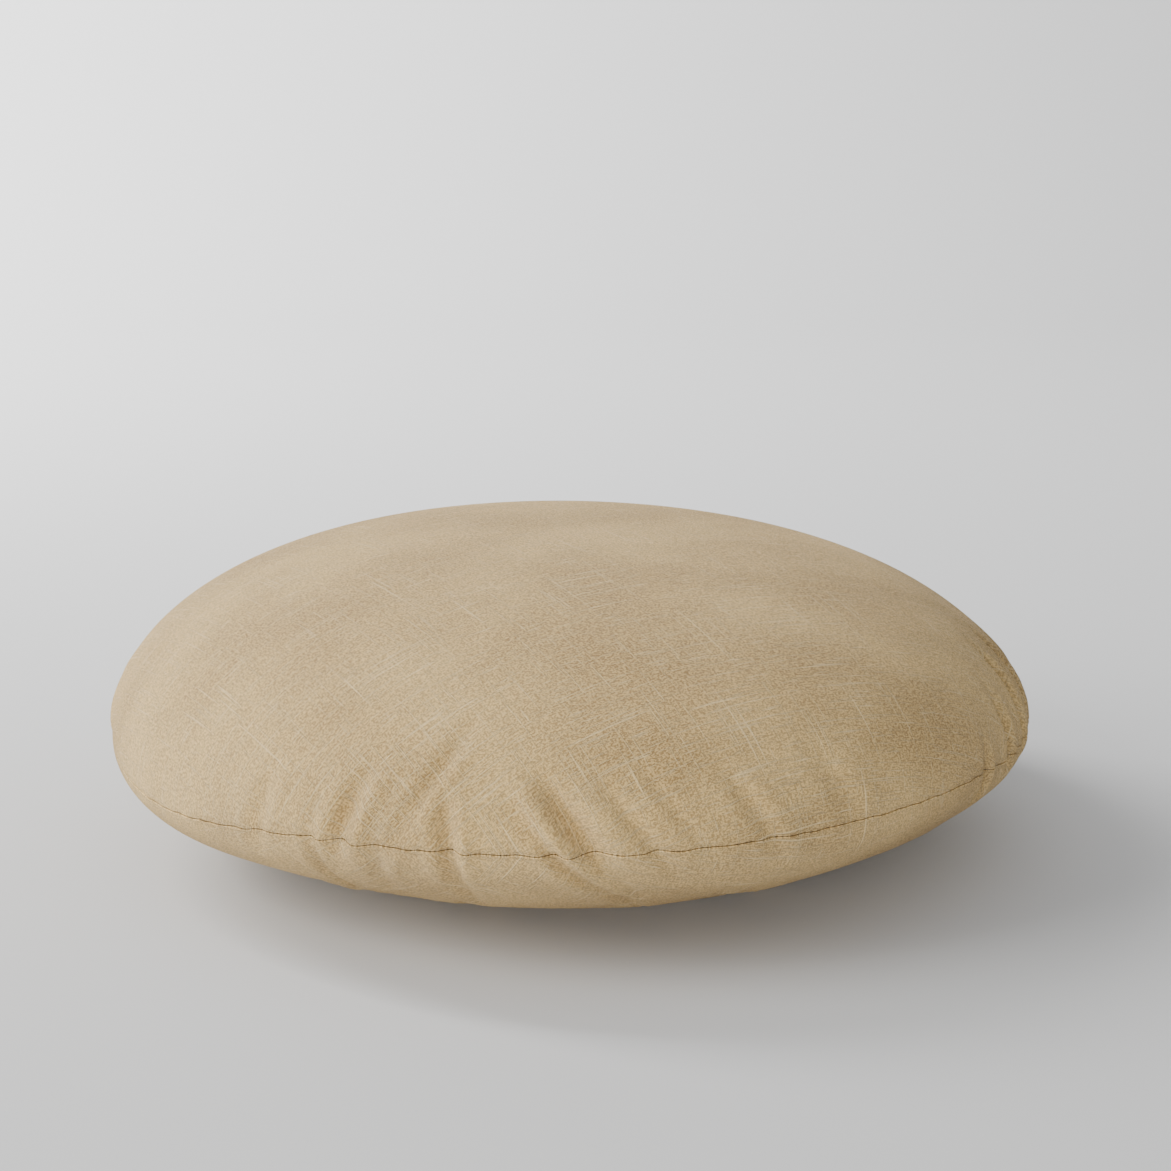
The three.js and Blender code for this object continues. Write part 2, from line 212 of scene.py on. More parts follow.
def fold_depth(angle, along):
    """How far each point moves outwards: for each fold a valley and two ridges across it, each
    exp(-(d / width)^2), faded in and out along the cloth with smooth steps."""
    degrees = from_front(angle)
    total = np.zeros_like(along)
    for at, lean, width, depth, low, high, ridge in FOLDS:
        across = np.radians((degrees - at - lean * along + 180) % 360 - 180) * RIM
        shown = 1 / (1 + np.exp((low - along) / FOLD_FADE)) / (1 + np.exp((along - high) / FOLD_FADE))
        near, far = ((across - side * RIDGE_OFFSET * width) / width for side in (ridge, -ridge))
        ridges = MAIN_RIDGE * np.exp(-(near**2)) + OTHER_RIDGE * np.exp(-(far**2))
        profile = ridges - np.exp(-((across / width) ** 2))
        total += depth * shown * profile
    return total


def folded(points, angle, along):
    """Moves a domed panel by its folds, outwards at the rim and upwards near the crown."""
    tilt = np.clip(np.abs(along) / TILT_LENGTH, 0, 1) * np.pi / 2
    depth = fold_depth(angle, along)
    outwards = np.stack([np.cos(tilt) * np.cos(angle), np.cos(tilt) * np.sin(angle), np.sin(tilt)], -1)
    outwards[..., 2] *= np.sign(along)
    return points + depth[..., None] * outwards


# %% [markdown]
# ## Sewing and stuffing the cover in a cloth simulation
#
# The two panels share their rim points, as if sewn. The rest shape is the two flat discs that were
# cut, so the cloth wants back its cut size: it is short of cloth up the wall, and has too much
# round the rim. Pressure inside stands for the filling, and a floor flattens the underside.

# %% The sewn cover
HALF = 66
radius, angle = disc_grid(HALF)
SIDE = 2 * HALF + 1
on_rim = radius > 1 - 1e-9
smooth_top, along_top = domed(radius, angle, UPPER)
smooth_bottom, along_bottom = domed(radius, angle, LOWER)
start_top = folded(smooth_top, angle, along_top)
start_bottom = folded(smooth_bottom, angle, along_bottom)
start_bottom[on_rim] = start_top[on_rim]


def grid_faces(index, flip=False):
    """Four-sided faces between neighbouring points of a grid of vertex numbers."""
    corners = [index[:-1, :-1], index[1:, :-1], index[1:, 1:], index[:-1, 1:]]
    faces = np.stack(corners, -1).reshape(-1, 4)
    return faces[:, ::-1] if flip else faces


top_index = np.arange(SIDE * SIDE).reshape(SIDE, SIDE)
bottom_index = np.where(on_rim, top_index, 0)
bottom_index[~on_rim] = SIDE * SIDE + np.arange((~on_rim).sum())
cover_faces = np.concatenate([grid_faces(top_index), grid_faces(bottom_index, flip=True)])
cover_start = np.concatenate([start_top.reshape(-1, 3), start_bottom[~on_rim]])
flat_disc = CUT_RADIUS * np.stack(
    [radius * np.cos(angle), radius * np.sin(angle), np.zeros_like(radius)], -1
)
cover_cut = np.concatenate([flat_disc.reshape(-1, 3), flat_disc[~on_rim]])
print("cover to simulate:", len(cover_start), "points,", len(cover_faces), "faces")


def mesh_object(name, points, faces):
    """A mesh object from an array of points and lists of face corners."""
    mesh = bpy.data.meshes.new(name)
    mesh.from_pydata(np.asarray(points).reshape(-1, 3).tolist(), [], [list(map(int, f)) for f in faces])
    mesh.update()
    obj = bpy.data.objects.new(name, mesh)
    bpy.context.collection.objects.link(obj)
    return obj


# %% [markdown]
# The cloth could run until it is still, but the folds are there after a few frames. Its shape is
# copied out as points, and the cloth object is removed.

# %% Stuffing it
FRAMES = 20
CLOTH = {
    "quality": 5,
    "air_damping": 1.0,
    "tension_stiffness": 1000.0,
    "compression_stiffness": 1000.0,
    "shear_stiffness": 100.0,
    "bending_stiffness": 3.0,
    "tension_damping": 2.0,
    "compression_damping": 2.0,
    "shear_damping": 2.0,
    "use_pressure": True,
    "uniform_pressure_force": 3.0,
}
COVER_MASS = 400.0
GRAVITY_SHARE = 0.1
SKIN = 0.002
FLOOR_GRIP = 20


def floor_for_cloth():
    """A plain square that the cloth can't pass."""
    corners = [(-1, -1, 0), (1, -1, 0), (1, 1, 0), (-1, 1, 0)]
    floor = mesh_object("cloth_floor", corners, [(0, 1, 2, 3)])
    floor.modifiers.new("collision", "COLLISION")
    floor.collision.thickness_outer = SKIN
    floor.collision.cloth_friction = FLOOR_GRIP
    return floor


def stuffed(points, faces, cut):
    """Runs the cloth from its start shape towards its cut size, and returns its last shape."""
    cloth = mesh_object("cloth", points, faces)
    cloth.shape_key_add(name="start")
    rest = cloth.shape_key_add(name="cut")
    rest.data.foreach_set("co", cut.ravel())
    floor = floor_for_cloth()
    modifier = cloth.modifiers.new("cloth", "CLOTH")
    for name, value in CLOTH.items():
        setattr(modifier.settings, name, value)
    modifier.settings.mass = COVER_MASS / len(points)
    modifier.settings.rest_shape_key = rest
    modifier.settings.effector_weights.gravity = GRAVITY_SHARE
    modifier.collision_settings.distance_min = SKIN
    modifier.point_cache.frame_end = FRAMES
    for number in range(1, FRAMES + 1):
        bpy.context.scene.frame_set(number)
    shaped = cloth.evaluated_get(bpy.context.evaluated_depsgraph_get())
    result = np.empty(len(points) * 3, np.float32)
    shaped.data.vertices.foreach_get("co", result)
    for used in (cloth, floor):
        bpy.data.objects.remove(used)
    bpy.context.scene.frame_set(1)
    return result.reshape(-1, 3).astype(float)


cover_points = stuffed(cover_start, cover_faces, cover_cut)
sewn_top = cover_points[top_index]
sewn_bottom = cover_points[bottom_index]
rim_radius = np.hypot(sewn_top[on_rim][:, 0], sewn_top[on_rim][:, 1])
print(f"rim after stuffing {rim_radius.mean():.4f} m, crown {sewn_top[..., 2].max():.4f} m")

# %% [markdown]
# ## Keeping the folds, and the designed shape
#
# Pressure also blows the whole cover rounder than a real, loosely filled one. So the move of each
# ring of cloth is split in two: what changes slowly round the ring is swelling, and is taken away
# again. What is left is the folds, and they are kept.

# %% Taking the swelling away
SLOW_WAVES = 4


def slow_part(moves):
    """What changes slowly round each ring of a grid: the closest sum of 1, cos and sin of one to a
    few turns, found by least squares for each ring."""
    slow = np.zeros_like(moves)
    slow[HALF, HALF] = moves[HALF, HALF]
    ring_number = np.rint(radius * HALF).astype(int)
    for number in range(1, HALF + 1):
        ring = ring_number == number
        around = angle[ring]
        waves = range(1, min(SLOW_WAVES, number) + 1)
        columns = [np.ones_like(around)]
        for count in waves:
            columns += [np.cos(count * around), np.sin(count * around)]
        table = np.stack(columns, -1)
        slow[ring] = table @ np.linalg.lstsq(table, moves[ring], rcond=None)[0]
    return slow


def folds_only(sewn, smooth):
    """The designed shape with the simulated folds on it."""
    moves = sewn - smooth
    return smooth + moves - slow_part(moves)


sewn_top = folds_only(sewn_top, smooth_top)
sewn_bottom = folds_only(sewn_bottom, smooth_bottom)
fold_size = np.linalg.norm(sewn_top - smooth_top, axis=-1).max()
print(f"deepest fold moves the cloth {fold_size * 1000:.1f} mm")
print(f"cloth from rim to crown {along_top.max():.4f} m, rim to middle below {-along_bottom.min():.4f} m")

# %% [markdown]
# ## Setting the cushion down
#
# The lowest part of the underside is pressed flat on the floor. At the back the seam goes back to
# the frame's true circle, because the zip is there.

# %% Rest on the floor, and meet the zip
PRESS_DEPTH = 0.0009
ZIP_REACH = math.radians(50)
ZIP_FADE = math.radians(14)
ZIP_BAND = 0.018
ZIP_BAND_FADE = 0.030


def smooth_step(value, start, end):
    """0 up to start, 1 from end on, and 3t^2 - 2t^3 between them."""
    t = np.clip((value - start) / (end - start), 0, 1)
    return t * t * (3 - 2 * t)


def set_down(points):
    """Stretches what lies below the seam to just under the floor, and presses that part flat."""
    below = np.minimum(points[..., 2] - SEAM_Z, 0)
    stretch = (SEAM_Z + PRESS_DEPTH) / SEAM_Z
    z = np.maximum(points[..., 2], SEAM_Z) + below * stretch
    return np.concatenate([points[..., :2], np.maximum(z, 0)[..., None]], -1)


def near_zip(angle, along):
    """1 round the zip and 0 away from it: a smooth step in angle times one along the cloth."""
    off = np.abs((angle - np.pi / 2 + np.pi) % (2 * np.pi) - np.pi)
    across = 1 - smooth_step(off, ZIP_REACH, ZIP_REACH + ZIP_FADE)
    return across * (1 - smooth_step(np.abs(along), ZIP_BAND, ZIP_BAND + ZIP_BAND_FADE))


def meet_zip(points, smooth, angle, along):
    """Fades the folds out round the zip, back to the smooth shape."""
    weight = near_zip(angle, along)[..., None]
    return points * (1 - weight) + smooth * weight


cloth_top = meet_zip(sewn_top, smooth_top, angle, along_top)
cloth_bottom = meet_zip(set_down(sewn_bottom), smooth_bottom, angle, along_bottom)
cloth_bottom[on_rim] = cloth_top[on_rim]
print(f"underside touches the floor over {(cloth_bottom[..., 2] < 1e-4).mean():.0%} of its points")

# %% [markdown]
# ## From coarse cloth to a fine surface
#
# The simulated grid is coarse, to be quick. A cubic curve through each four neighbours gives the
# points between them, so the folds stay smooth when the grid is doubled. The flat pattern is
# doubled in the same way, and becomes the UV map, so the weave follows the cloth.


# %% Doubling a grid
def halfway(grid, axis):
    """Doubles a grid along an axis. A new point is (9 (b + c) - a - d) / 16 of its neighbours."""
    rows = np.moveaxis(grid, axis, 0)
    before = 3 * rows[0] - 3 * rows[1] + rows[2]
    after = 3 * rows[-1] - 3 * rows[-2] + rows[-3]
    wide = np.concatenate([before[None], rows, after[None]])
    doubled = np.empty((2 * len(rows) - 1,) + rows.shape[1:])
    doubled[::2] = rows
    doubled[1::2] = (9 * (wide[1:-2] + wide[2:-1]) - wide[:-3] - wide[3:]) / 16
    return np.moveaxis(doubled, 0, axis)


def finer(grid):
    """Doubles a grid both ways."""
    return halfway(halfway(grid, 0), 1)


def edge_loop(count):
    """Rows and columns of the points round a square grid's edge, in order."""
    up = np.arange(count - 1)
    low = np.zeros(count - 1, int)
    high = np.full(count - 1, count - 1)
    return np.concatenate([up, high, high - up, low]), np.concatenate([low, up, high, high - up])


def point_normals(points, faces):
    """Unit normals at the points: the sum of the normals of the faces round each one."""
    corners = points[faces]
    across = np.cross(corners[:, 2] - corners[:, 0], corners[:, 3] - corners[:, 1])
    total = np.zeros_like(points)
    for corner in range(4):
        np.add.at(total, faces[:, corner], across)
    return total / np.maximum(np.linalg.norm(total, axis=1, keepdims=True), 1e-12)


# %% [markdown]
# ## The two linen panels
#
# Each panel is a closed shell: the outer cloth, the edge rolled inwards at the seam, the turned-in
# allowance behind it, and the inner face. The rolled edges leave a fine crease between the panels,
# and it is wider along the zip.

# %% Cloth sizes
LINEN_THICK = 0.0010
HEM_THICK = 0.0022
HEM_DEPTH = 0.013
HEM_FADE = 0.004
LIP = 0.0003
ZIP_LIP = 0.00095
ROLL = 0.0006
ROLL_STEPS = 4
PUCKER = 0.0005


def rim_frame(loop):
    """The outward direction at each point of the rim: level, and square to the middle of the seam."""
    out = loop * np.array([1, 1, 0])
    return out / np.linalg.norm(out, axis=1, keepdims=True)


def zip_opening():
    """Start and end angle of the opening, from the places of the zip's stops."""
    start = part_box("zip_top_stop_upper")[1]
    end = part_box("zip_bottom_stop")[0]
    reach = RIM - HEM_THICK
    return math.acos(start[0] / reach), math.acos(end[0] / reach)


OPEN_FROM, OPEN_TO = zip_opening()
OPEN_FADE = math.radians(1.2)


def lip_height(around):
    """Half the gap between the rolled edges: wider along the zip's opening."""
    middle, half = (OPEN_FROM + OPEN_TO) / 2, (OPEN_TO - OPEN_FROM) / 2
    off = np.abs((around - middle + np.pi) % (2 * np.pi) - np.pi)
    return LIP + (ZIP_LIP - LIP) * (1 - smooth_step(off, half, half + OPEN_FADE))


def pucker(around):
    """A slight irregular wander of the sewn edge: three sine waves that don't repeat together."""
    waves = ((71, 0.3, 0.5), (113, 1.9, 0.3), (167, 4.1, 0.2))
    total = sum(share * np.sin(count * around + start) for count, start, share in waves)
    return PUCKER * total * (1 - near_zip(around, 0 * around))


def loop_faces(first, second, flip):
    """Four-sided faces between two closed loops of the same length."""
    faces = np.stack([first, np.roll(first, -1), np.roll(second, -1), second], -1)
    return faces[:, ::-1] if flip else faces


def panel_shell(grid, uv, side):
    """Points, faces and UVs of a panel. The roll is a quarter circle from the outer cloth into the
    seam, and the inner face is the coarse grid moved inwards by the cloth's or the hem's thickness."""
    fine = finer(grid)
    fine[..., 2] = np.maximum(fine[..., 2], 0)
    count = len(fine)
    rows, columns = edge_loop(count)
    loop = fine[rows, columns].copy()
    around = np.arctan2(loop[:, 1], loop[:, 0])
    out = rim_frame(loop)
    up = np.array([0, 0, side])
    lip = lip_height(around)[:, None]
    loop[:, 2] += pucker(around)
    fine[rows, columns] = loop + up * (lip + ROLL)
    turn = np.linspace(0, np.pi / 2, ROLL_STEPS + 1)[1:]
    rolled = [loop - out * ROLL * (1 - np.cos(t)) + up * (lip + ROLL * (1 - np.sin(t))) for t in turn]
    rolled.append(loop - out * HEM_THICK + up * lip)

    coarse_faces = grid_faces(np.arange(SIDE * SIDE).reshape(SIDE, SIDE), flip=side < 0)
    normals = point_normals(grid.reshape(-1, 3), coarse_faces).reshape(grid.shape)
    along = (1 - radius) * CUT_RADIUS
    hem = 1 - smooth_step(along, HEM_DEPTH, HEM_DEPTH + HEM_FADE)
    inner = grid - normals * (LINEN_THICK + (HEM_THICK - LINEN_THICK) * hem)[..., None]
    inner_rows, inner_columns = edge_loop(SIDE)
    inner[inner_rows, inner_columns] = rolled[-1][::2] + up * ROLL

    points = np.concatenate([fine.reshape(-1, 3), *rolled, inner.reshape(-1, 3)])
    outer_index = np.arange(count * count).reshape(count, count)
    start = count * count
    size = len(loop)
    loops = [outer_index[rows, columns]]
    loops += [start + size * i + np.arange(size) for i in range(len(rolled))]
    inner_index = (start + size * len(rolled) + np.arange(SIDE * SIDE)).reshape(SIDE, SIDE)
    faces = [grid_faces(outer_index, flip=side < 0)]
    faces += [loop_faces(a, b, flip=side > 0) for a, b in zip(loops, loops[1:])]
    faces.append(grid_faces(inner_index, flip=side > 0))
    fans = fan_faces(loops[-1], inner_index[inner_rows, inner_columns], flip=side > 0)

    fine_uv = finer(uv)
    edge_uv = fine_uv[rows, columns]
    uvs = [fine_uv.reshape(-1, 2)] + [edge_uv] * len(rolled) + [uv.reshape(-1, 2)]
    return points, [*np.concatenate(faces), *fans], np.concatenate(uvs)


def fan_faces(many, few, flip):
    """Three-sided faces between a closed loop and one with half as many points."""
    even, odd, following = many[::2], many[1::2], np.roll(many[::2], -1)
    beyond = np.roll(few, -1)
    triangles = [(even, odd, few), (odd, following, beyond), (odd, beyond, few)]
    faces = np.concatenate([np.stack(corners, -1) for corners in triangles])
    return faces[:, ::-1] if flip else faces


# %% [markdown]
# A mesh needs more than points: a UV map for the weave, smooth shading, and a check that it is
# closed and that its faces point outwards. One helper does this for every cloth piece.


# %% Finishing a piece
def finish_piece(name, points, faces, uvs=None, body="cushion", slot="linen", stands_for=()):
    """Makes the mesh, gives it UVs, shades it smoothly and ties it to the frame."""
    piece = mesh_object(name, points, faces)
    mesh = piece.data
    if uvs is not None:
        layer = mesh.uv_layers.new(name="pattern")
        corner_points = np.empty(len(mesh.loops), np.int32)
        mesh.loops.foreach_get("vertex_index", corner_points)
        layer.data.foreach_set("uv", uvs[corner_points].ravel())
    mesh.shade_smooth()
    check = bmesh.new()
    check.from_mesh(mesh)
    open_edges = sum(not edge.is_manifold for edge in check.edges)
    turned = sum(edge.is_manifold and not edge.is_contiguous for edge in check.edges)
    volume = check.calc_volume(signed=True)
    check.free()
    print(f"{name}: {len(faces)} faces, {open_edges} open, {turned} turned edges, {volume * 1e6:.2f} cm3")
    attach(piece, body)
    if stands_for:
        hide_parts(*stands_for)
    return piece


pattern = flat_disc[..., :2]
top_shell = panel_shell(cloth_top, pattern, 1)
bottom_shell = panel_shell(cloth_bottom, pattern, -1)
linen_top = finish_piece("linen_top", *top_shell, stands_for=["cover_top"])
linen_bottom = finish_piece("linen_bottom", *bottom_shell, stands_for=["cover_bottom"])

# %% [markdown]
# ## The pad inside
#
# The pad is a cotton casing full of loose fibre, a little smaller than the cover. It takes the
# cover's shape, so it is the cover drawn towards its middle, with the sharp folds smoothed away.

# %% Casing and filling
PAD_ACROSS = 0.957
PAD_UP = 0.962
CASING_SHARE = 0.997
FILL_SHARE = 0.993
SMOOTHING = 12
PAD_STEP = 2


def relaxed(grid, rounds):
    """Each point moves to the mean of its four neighbours, again and again. The edge stays."""
    for _ in range(rounds):
        middle = (grid[2:, 1:-1] + grid[:-2, 1:-1] + grid[1:-1, 2:] + grid[1:-1, :-2]) / 4
        grid = grid.copy()
        grid[1:-1, 1:-1] = middle
    return grid


def drawn_in(grid, across, up):
    """Scales a grid towards the middle of the seam's plane."""
    centre = np.array([0, 0, SEAM_Z])
    return centre + (grid - centre) * np.array([across, across, up])


pad_top = drawn_in(relaxed(cloth_top, SMOOTHING), PAD_ACROSS, PAD_UP)[::PAD_STEP, ::PAD_STEP]
pad_bottom = drawn_in(relaxed(cloth_bottom, SMOOTHING), PAD_ACROSS, PAD_UP)[::PAD_STEP, ::PAD_STEP]
pad_pattern = pattern[::PAD_STEP, ::PAD_STEP]


def casing_shell(grid, uv, side):
    """A thin closed dome: the outer grid and the same grid drawn in, joined round the edge."""
    count = len(grid)
    lift = np.array([0, 0, side * LIP])
    outer = grid + lift
    inner = drawn_in(grid, CASING_SHARE, CASING_SHARE) + lift
    index = np.arange(count * count).reshape(count, count)
    edge = index[edge_loop(count)]
    faces = [
        grid_faces(index, flip=side < 0),
        grid_faces(index + count * count, flip=side > 0),
        loop_faces(edge, edge + count * count, flip=side > 0),
    ]
    points = np.concatenate([outer.reshape(-1, 3), inner.reshape(-1, 3)])
    return points, np.concatenate(faces), np.concatenate([uv.reshape(-1, 2)] * 2)


for name, grid, side in (("top", pad_top, 1), ("bottom", pad_bottom, -1)):
    shell = casing_shell(grid, pad_pattern, side)
    casing = finish_piece(f"cotton_{name}", *shell, slot="cotton", stands_for=[f"casing_{name}"])

fill_top = drawn_in(pad_top, FILL_SHARE, FILL_SHARE)
fill_bottom = drawn_in(pad_bottom, FILL_SHARE, FILL_SHARE)
pad_side = len(fill_top)
pad_edge = on_rim[::PAD_STEP, ::PAD_STEP]
fill_index = np.arange(pad_side * pad_side).reshape(pad_side, pad_side)
under_index = np.where(pad_edge, fill_index, 0)
under_index[~pad_edge] = pad_side * pad_side + np.arange((~pad_edge).sum())
fill_points = np.concatenate([fill_top.reshape(-1, 3), fill_bottom[~pad_edge]])
fill_faces = np.concatenate([grid_faces(fill_index), grid_faces(under_index, flip=True)])
fill_uv = np.concatenate([pad_pattern.reshape(-1, 2), pad_pattern[~pad_edge]])
fibre_fill = finish_piece(
    "fibre_fill", fill_points, fill_faces, fill_uv, slot="fibre", stands_for=["filling"]
)

# %% [markdown]
# ## Threads
#
# A sewing machine's thread dips in and out of the cloth. One helper carries a small round section
# along any path, and the seam's own edge is the path.


# %% A round section along a path
def tube(path, reference, thick, sides, closed=False):
    """Carries a circle along a path. At each point the circle lies in the plane of the reference
    direction, made square to the path, and of its cross product with the path's direction."""
    if closed:
        along = np.roll(path, -1, axis=0) - np.roll(path, 1, axis=0)
    else:
        along = np.gradient(path, axis=0)
    along /= np.linalg.norm(along, axis=1, keepdims=True)
    first = reference - (reference * along).sum(1, keepdims=True) * along
    first /= np.linalg.norm(first, axis=1, keepdims=True)
    second = np.cross(along, first)
    turn = np.arange(sides) * 2 * np.pi / sides
    ring = np.cos(turn)[None, :, None] * first[:, None] + np.sin(turn)[None, :, None] * second[:, None]
    points = (path[:, None] + thick * ring).reshape(-1, 3)
    index = np.arange(len(path) * sides).reshape(len(path), sides)
    if closed:
        index = np.concatenate([index, index[:1]])
    wrapped = np.concatenate([index, index[:, :1]], axis=1)
    faces = [list(face) for face in grid_faces(wrapped, flip=True)]
    if not closed:
        faces += [list(index[0][::-1]), list(index[-1])]
    return points, faces


def rim_path(grid, start, end, spacing, inwards, dip, stitch):
    """A wavy line behind a sewn edge, at even spacing: a sine wave, one stitch long, up and down."""
    fine = finer(grid)
    loop = fine[edge_loop(len(fine))]
    around = np.arctan2(loop[:, 1], loop[:, 0]) % (2 * np.pi)
    order = np.argsort(around)
    count = int((end - start) * RIM / spacing)
    angles = np.linspace(start, end, count)
    wound = angles % (2 * np.pi)
    sorted_loop = loop[order]
    place = [np.interp(wound, around[order], sorted_loop[:, i], period=2 * np.pi) for i in range(3)]
    points = np.stack(place, -1)
    out = rim_frame(points)
    points -= out * inwards
    points[:, 2] += pucker(wound) + dip * np.sin(2 * np.pi * angles * RIM / stitch)
    return points, out


THREAD_THICK = 0.00030
STITCH = 0.0030
THREAD_BEHIND = 0.0019
THREAD_DIP = 0.00025
THREAD_SIDES = 6
SPACING = 0.00075
SEAM_MARGIN = math.radians(0.6)
PAD_THREAD_BEHIND = 0.0016
PAD_THREAD_SHARE = 0.8
seam_line, seam_out = rim_path(
    cloth_top,
    OPEN_TO + SEAM_MARGIN,
    OPEN_FROM - SEAM_MARGIN + 2 * math.pi,
    SPACING,
    THREAD_BEHIND,
    THREAD_DIP,
    STITCH,
)
finish_piece(
    "seam_stitching",
    *tube(seam_line, seam_out, THREAD_THICK, THREAD_SIDES),
    slot="thread",
    stands_for=["seam_thread"],
)

once_round = 2 * math.pi * (1 - SPACING / (2 * math.pi * RIM))
pad_line, pad_out = rim_path(pad_top, 0, once_round, SPACING * 2, PAD_THREAD_BEHIND, 0, STITCH)
finish_piece(
    "casing_stitching",
    *tube(pad_line, pad_out, THREAD_THICK * PAD_THREAD_SHARE, THREAD_SIDES, closed=True),
    slot="thread",
    stands_for=["casing_thread"],
)

# %% [markdown]
# ## The zip
#
# The tapes, stops, slider and pull are the frame's own pieces. The coils and the tape's stitching
# are plain bands there, so a wound nylon helix and a row of short stitches stand for them.


# %% Coils and tape stitching
COIL_PITCH = 0.0013
COIL_WIRE = 0.00024
COIL_TURN_STEPS = 8
COIL_SIDES = 4
COIL_DEEP = 0.0018
TAPE_STITCH = 0.0030
TAPE_STITCH_SHARE = 0.62
TAPE_THREAD = 0.00026
TAPE_THREAD_SIDES = 5
TAPE_THREAD_BOW = 0.6
STITCH_STEPS = 5


def band_place(node):
    """Outer radius, middle height, end angles and width of a band round the back, from its box."""
    low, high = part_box(node)
    outer = high[1]
    start, end = math.acos(high[0] / outer), math.acos(low[0] / outer)
    return outer, (low[2] + high[2]) / 2, start, end, high[2] - low[2]


def coil(node):
    """A helix with an oval turn, wound round an arc: radius and height swing as cosine and sine."""
    outer, height, start, end, tall = band_place(node)
    turns = int((end - start) * outer / COIL_PITCH)
    swing = np.linspace(0, 2 * np.pi * turns, turns * COIL_TURN_STEPS + 1)
    at = np.linspace(start, end, len(swing))
    deep, high = COIL_DEEP / 2 - COIL_WIRE, tall / 2 - COIL_WIRE
    reach = outer - COIL_DEEP / 2 + deep * np.cos(swing)
    path = np.stack([reach * np.cos(at), reach * np.sin(at), height + high * np.sin(swing)], -1)
    away = np.stack([np.cos(swing) * np.cos(at), np.cos(swing) * np.sin(at), np.sin(swing)], -1)
    return tube(path, away, COIL_WIRE, COIL_SIDES)


def stitch_row(node):
    """Short stitches on a tape: each is a tube that bows into it in the middle, as half a sine."""
    outer, height, start, end, _ = band_place(node)
    count = int((end - start) * outer / TAPE_STITCH)
    points, faces = [], []
    for number in range(count):
        middle = start + (number + 0.5) * (end - start) / count
        at = middle + np.linspace(-0.5, 0.5, STITCH_STEPS) * TAPE_STITCH_SHARE * TAPE_STITCH / outer
        bow = TAPE_THREAD_BOW * np.sin(np.linspace(0, np.pi, STITCH_STEPS))
        reach = outer - TAPE_THREAD * (1 + bow)
        path = np.stack([reach * np.cos(at), reach * np.sin(at), np.full(STITCH_STEPS, height)], -1)
        upwards = np.tile([0.0, 0.0, 1.0], (STITCH_STEPS, 1))
        new_points, new_faces = tube(path, upwards, TAPE_THREAD, TAPE_THREAD_SIDES)
        first = sum(map(len, points))
        faces += [[corner + first for corner in face] for face in new_faces]
        points.append(new_points)
    return np.concatenate(points), faces


for half in ("upper", "lower"):
    finish_piece(f"coil_{half}", *coil(f"zip_coil_{half}"), slot="nylon", stands_for=[f"zip_coil_{half}"])
    finish_piece(
        f"tape_stitching_{half}",
        *stitch_row(f"zip_stitch_{half}"),
        slot="thread",
        stands_for=[f"zip_stitch_{half}"],
    )

# %% [markdown]
# ## The care label
#
# A blank satin tape hangs from the seam inside the lower panel. It follows the panel a few
# millimetres inside it, with a slight curl, so it is read off the panel's own surface.


# %% The label
LABEL_FLAT = (0.025, 0.040)
LABEL_THICK = 0.0003
LABEL_INSIDE = 0.0055
LABEL_CURL = 0.0005
LABEL_GRID = (14, 22)
LINE_START = 0.001
LINE_STEPS = 200


def on_panel(grid, flat_radius, flat_angle):
    """Reads a panel at a place on its round pattern, in the quarter round +Y or +X of the grid."""
    upright = flat_angle > np.pi / 4
    other = np.where(upright, (np.pi / 2 - flat_angle), flat_angle) / (np.pi / 4)
    a = np.where(upright, flat_radius * other, flat_radius)
    b = np.where(upright, flat_radius, flat_radius * other)
    row, column = (a + 1) * HALF, (b + 1) * HALF
    i, j = (np.clip(np.floor(v).astype(int), 0, SIDE - 2) for v in (row, column))
    s, t = (row - i)[..., None], (column - j)[..., None]
    low = grid[i, j] * (1 - s) + grid[i + 1, j] * s
    high = grid[i, j + 1] * (1 - s) + grid[i + 1, j + 1] * s
    return low * (1 - t) + high * t


label_low, label_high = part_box("care_label")
label_middle = math.atan2((label_low[1] + label_high[1]) / 2, (label_low[0] + label_high[0]) / 2)
across, down = np.meshgrid(*(np.linspace(-0.5, 0.5, count) for count in LABEL_GRID), indexing="ij")
run = np.linspace(LINE_START, 2 * LABEL_FLAT[1], LINE_STEPS)
line = on_panel(cloth_bottom, 1 - run / CUT_RADIUS, np.full(LINE_STEPS, label_middle))
gone = np.concatenate([[0], np.cumsum(np.linalg.norm(np.diff(line, axis=0), axis=1))])
hung = (down + 0.5) * LABEL_FLAT[1]
spot = np.stack([np.interp(hung, gone, line[:, i]) for i in range(3)], -1)
spot_out = np.array([math.cos(label_middle), math.sin(label_middle), 0.0])
sideways = np.array([-math.sin(label_middle), math.cos(label_middle), 0.0])
curl = LABEL_CURL * np.sin(3 * np.pi * down) + LABEL_CURL * np.cos(2 * np.pi * across)
label_points = spot - spot_out * (LABEL_INSIDE + curl)[..., None]
label_points = label_points + sideways * (across * LABEL_FLAT[0])[..., None]
label_uv = np.stack([across * LABEL_FLAT[0], down * LABEL_FLAT[1]], -1)
label_rows = np.arange(across.size).reshape(across.shape)
care_label = finish_piece(
    "care_label_blank",
    label_points.reshape(-1, 3),
    grid_faces(label_rows),
    label_uv.reshape(-1, 2),
    slot="label",
    stands_for=["care_label"],
)
thickness = care_label.modifiers.new("thickness", "SOLIDIFY")
thickness.thickness = LABEL_THICK
thickness.offset = 0

# %% [markdown]
# ## A node group for woven cloth
#
# Linen yarn is uneven: fine grain, and here and there a slub, a thick place one thread wide and a
# few centimetres long. A noise stretched along one thread direction gives slubs, and the same noise
# turned a quarter gives the other direction. The group is built once and each cloth sets its scale.


